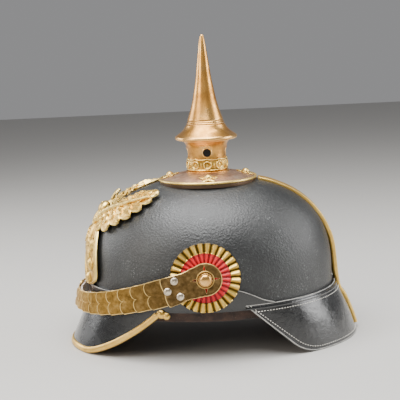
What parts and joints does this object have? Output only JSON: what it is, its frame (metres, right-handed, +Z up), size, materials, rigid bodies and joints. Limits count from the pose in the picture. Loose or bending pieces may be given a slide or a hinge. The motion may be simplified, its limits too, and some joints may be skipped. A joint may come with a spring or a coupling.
{
  "type": "spiked parade helmet",
  "caption": "Spiked leather parade helmet with a relief eagle front plate, curved visors, side cockades, a screw-in spike and two hinged halves of lobed chin scales.",
  "frame": {"origin": "on the surface that the helmet stands on, below the spike's axis, at the middle of the footprint", "axes": "+Z up along the spike, the front is -X, the wearer's left is -Y and right is +Y"},
  "size_m": [0.2565, 0.2026, 0.2645],
  "materials": {
    "black_leather": "fine grain, semi-matte",
    "glossy_leather": "lacquered, glossy",
    "brown_leather": "matte, worn",
    "suede": "brushed, matte",
    "gilt": "bright gilding",
    "aged_brass": "darkened, satin",
    "warm_brass": "polished, warm",
    "red_paint": "glossy paint"
  },
  "bodies": {
    "helmet": {"skull": "black_leather", "front_visor": "glossy_leather", "front_visor_lining": "brown_leather", "front_visor_trim": "gilt", "trim_end_clips": "gilt", "rear_visor": "glossy_leather", "rear_visor_lining": "brown_leather", "rear_spine": "gilt", "spike_base": "aged_brass", "base_star_studs": "gilt", "inner_nuts": "aged_brass", "spike_neck": "aged_brass", "neck_gallery": "gilt", "eagle_plate": "gilt", "sweatband": "suede", "head_liner": "brown_leather", "left_cockade_rim": "gilt", "left_cockade_disc": "red_paint", "left_side_post": "aged_brass", "left_post_nut": "aged_brass", "left_post_knob": "warm_brass", "right_cockade_rim": "gilt", "right_cockade_disc": "red_paint", "right_side_post": "aged_brass", "right_post_nut": "aged_brass", "right_post_knob": "warm_brass"},
    "spike_screw": {"spike_stem": "warm_brass"},
    "spike_point": {"spike": "warm_brass"},
    "left_strap_end": {"left_end_plate": "aged_brass", "left_end_leather": "brown_leather", "left_end_rivets": "gilt"},
    "left_link_01": {"left_scale_01": "aged_brass"},
    "left_link_02": {"left_scale_02": "aged_brass"},
    "left_link_03": {"left_scale_03": "aged_brass"},
    "left_link_04": {"left_scale_04": "aged_brass"},
    "left_link_05": {"left_scale_05": "aged_brass"},
    "left_link_06": {"left_scale_06": "aged_brass"},
    "left_link_07": {"left_scale_07": "aged_brass"},
    "left_link_08": {"left_scale_08": "aged_brass"},
    "left_link_09": {"left_scale_09": "aged_brass"},
    "left_link_10": {"left_scale_10": "aged_brass", "left_closing_hook": "aged_brass"},
    "right_strap_end": {"right_end_plate": "aged_brass", "right_end_leather": "brown_leather", "right_end_rivets": "gilt"},
    "right_link_01": {"right_scale_01": "aged_brass"},
    "right_link_02": {"right_scale_02": "aged_brass"},
    "right_link_03": {"right_scale_03": "aged_brass"},
    "right_link_04": {"right_scale_04": "aged_brass"},
    "right_link_05": {"right_scale_05": "aged_brass"},
    "right_link_06": {"right_scale_06": "aged_brass"},
    "right_link_07": {"right_scale_07": "aged_brass"},
    "right_link_08": {"right_scale_08": "aged_brass"},
    "right_link_09": {"right_scale_09": "aged_brass"},
    "right_link_10": {"right_scale_10": "aged_brass", "right_closing_eye": "aged_brass"}
  },
  "joints": [
    {"name": "spike_lift", "type": "slide", "parent": "helmet", "child": "spike_screw", "axis": [0, 0, 1], "range_m": [0, 0.00641]},
    {"name": "spike_turn", "type": "hinge", "parent": "spike_screw", "child": "spike_point", "pos_m": [0, 0, 0.1772], "axis": [0, 0, 1], "range_deg": [0, 1440]},
    {"name": "left_strap_swing", "type": "hinge", "parent": "helmet", "child": "left_strap_end", "pos_m": [-0.0065, -0.094, 0.0715], "axis": [0, -1, 0], "range_deg": [0, 60]},
    {"name": "left_link_01_bend", "type": "hinge", "parent": "left_strap_end", "child": "left_link_01", "pos_m": [-0.03929, -0.0908, 0.06166], "axis": [-0.2697, 0.048, 0.9617], "range_deg": [0, 28.24]},
    {"name": "left_link_02_bend", "type": "hinge", "parent": "left_link_01", "child": "left_link_02", "pos_m": [-0.05126, -0.08701, 0.05823], "axis": [-0.2307, 0.1107, 0.9667], "range_deg": [0, 6.85]},
    {"name": "left_link_03_bend", "type": "hinge", "parent": "left_link_02", "child": "left_link_03", "pos_m": [-0.06288, -0.08196, 0.05499], "axis": [-0.1949, 0.1388, 0.9709], "range_deg": [0, 7.19]},
    {"name": "left_link_04_bend", "type": "hinge", "parent": "left_link_03", "child": "left_link_04", "pos_m": [-0.07394, -0.07566, 0.05202], "axis": [-0.1502, 0.1622, 0.9753], "range_deg": [0, 7.6]},
    {"name": "left_link_05_bend", "type": "hinge", "parent": "left_link_04", "child": "left_link_05", "pos_m": [-0.08428, -0.06807, 0.04936], "axis": [-0.0968, 0.178, 0.9793], "range_deg": [0, 8.05]},
    {"name": "left_link_06_bend", "type": "hinge", "parent": "left_link_05", "child": "left_link_06", "pos_m": [-0.09363, -0.05928, 0.04706], "axis": [-0.036, 0.1833, 0.9824], "range_deg": [0, 8.54]},
    {"name": "left_link_07_bend", "type": "hinge", "parent": "left_link_06", "child": "left_link_07", "pos_m": [-0.1018, -0.04932, 0.04518], "axis": [0.0298, 0.175, 0.9841], "range_deg": [0, 9.08]},
    {"name": "left_link_08_bend", "type": "hinge", "parent": "left_link_07", "child": "left_link_08", "pos_m": [-0.10859, -0.03821, 0.04373], "axis": [0.0969, 0.1511, 0.9838], "range_deg": [0, 9.58]},
    {"name": "left_link_09_bend", "type": "hinge", "parent": "left_link_08", "child": "left_link_09", "pos_m": [-0.11367, -0.02622, 0.04276], "axis": [0.16, 0.1116, 0.9808], "range_deg": [0, 9.95]},
    {"name": "left_link_10_bend", "type": "hinge", "parent": "left_link_09", "child": "left_link_10", "pos_m": [-0.11685, -0.01361, 0.04224], "axis": [0.214, 0.0597, 0.975], "range_deg": [0, 10.23]},
    {"name": "right_strap_swing", "type": "hinge", "parent": "helmet", "child": "right_strap_end", "pos_m": [-0.0065, 0.094, 0.0715], "axis": [0, -1, 0], "range_deg": [0, 60]},
    {"name": "right_link_01_bend", "type": "hinge", "parent": "right_strap_end", "child": "right_link_01", "pos_m": [-0.03929, 0.0908, 0.06166], "axis": [0.2697, 0.048, -0.9617], "range_deg": [0, 28.24]},
    {"name": "right_link_02_bend", "type": "hinge", "parent": "right_link_01", "child": "right_link_02", "pos_m": [-0.05126, 0.08701, 0.05823], "axis": [0.2307, 0.1107, -0.9667], "range_deg": [0, 6.85]},
    {"name": "right_link_03_bend", "type": "hinge", "parent": "right_link_02", "child": "right_link_03", "pos_m": [-0.06288, 0.08196, 0.05499], "axis": [0.1949, 0.1388, -0.9709], "range_deg": [0, 7.19]},
    {"name": "right_link_04_bend", "type": "hinge", "parent": "right_link_03", "child": "right_link_04", "pos_m": [-0.07394, 0.07566, 0.05202], "axis": [0.1502, 0.1622, -0.9753], "range_deg": [0, 7.6]},
    {"name": "right_link_05_bend", "type": "hinge", "parent": "right_link_04", "child": "right_link_05", "pos_m": [-0.08428, 0.06807, 0.04936], "axis": [0.0968, 0.178, -0.9793], "range_deg": [0, 8.05]},
    {"name": "right_link_06_bend", "type": "hinge", "parent": "right_link_05", "child": "right_link_06", "pos_m": [-0.09363, 0.05928, 0.04706], "axis": [0.036, 0.1833, -0.9824], "range_deg": [0, 8.54]},
    {"name": "right_link_07_bend", "type": "hinge", "parent": "right_link_06", "child": "right_link_07", "pos_m": [-0.1018, 0.04932, 0.04518], "axis": [-0.0298, 0.175, -0.9841], "range_deg": [0, 9.08]},
    {"name": "right_link_08_bend", "type": "hinge", "parent": "right_link_07", "child": "right_link_08", "pos_m": [-0.10859, 0.03821, 0.04373], "axis": [-0.0969, 0.1511, -0.9838], "range_deg": [0, 9.58]},
    {"name": "right_link_09_bend", "type": "hinge", "parent": "right_link_08", "child": "right_link_09", "pos_m": [-0.11367, 0.02622, 0.04276], "axis": [-0.16, 0.1116, -0.9808], "range_deg": [0, 9.95]},
    {"name": "right_link_10_bend", "type": "hinge", "parent": "right_link_09", "child": "right_link_10", "pos_m": [-0.11685, 0.01361, 0.04224], "axis": [-0.214, 0.0597, -0.975], "range_deg": [0, 10.23]}
  ],
  "couplings": [
    {"joint": "spike_lift", "follows": "spike_turn", "m_per_rad": 0.00025465},
    {"joint": "left_link_01_bend", "follows": "left_strap_swing", "ratio": 0.47053},
    {"joint": "left_link_02_bend", "follows": "left_strap_swing", "ratio": 0.11397},
    {"joint": "left_link_03_bend", "follows": "left_strap_swing", "ratio": 0.11965},
    {"joint": "left_link_04_bend", "follows": "left_strap_swing", "ratio": 0.12652},
    {"joint": "left_link_05_bend", "follows": "left_strap_swing", "ratio": 0.13407},
    {"joint": "left_link_06_bend", "follows": "left_strap_swing", "ratio": 0.1421},
    {"joint": "left_link_07_bend", "follows": "left_strap_swing", "ratio": 0.1512},
    {"joint": "left_link_08_bend", "follows": "left_strap_swing", "ratio": 0.15957},
    {"joint": "left_link_09_bend", "follows": "left_strap_swing", "ratio": 0.1657},
    {"joint": "left_link_10_bend", "follows": "left_strap_swing", "ratio": 0.17038},
    {"joint": "right_link_01_bend", "follows": "right_strap_swing", "ratio": 0.47053},
    {"joint": "right_link_02_bend", "follows": "right_strap_swing", "ratio": 0.11397},
    {"joint": "right_link_03_bend", "follows": "right_strap_swing", "ratio": 0.11965},
    {"joint": "right_link_04_bend", "follows": "right_strap_swing", "ratio": 0.12652},
    {"joint": "right_link_05_bend", "follows": "right_strap_swing", "ratio": 0.13407},
    {"joint": "right_link_06_bend", "follows": "right_strap_swing", "ratio": 0.1421},
    {"joint": "right_link_07_bend", "follows": "right_strap_swing", "ratio": 0.1512},
    {"joint": "right_link_08_bend", "follows": "right_strap_swing", "ratio": 0.15957},
    {"joint": "right_link_09_bend", "follows": "right_strap_swing", "ratio": 0.1657},
    {"joint": "right_link_10_bend", "follows": "right_strap_swing", "ratio": 0.17038}
  ]
}
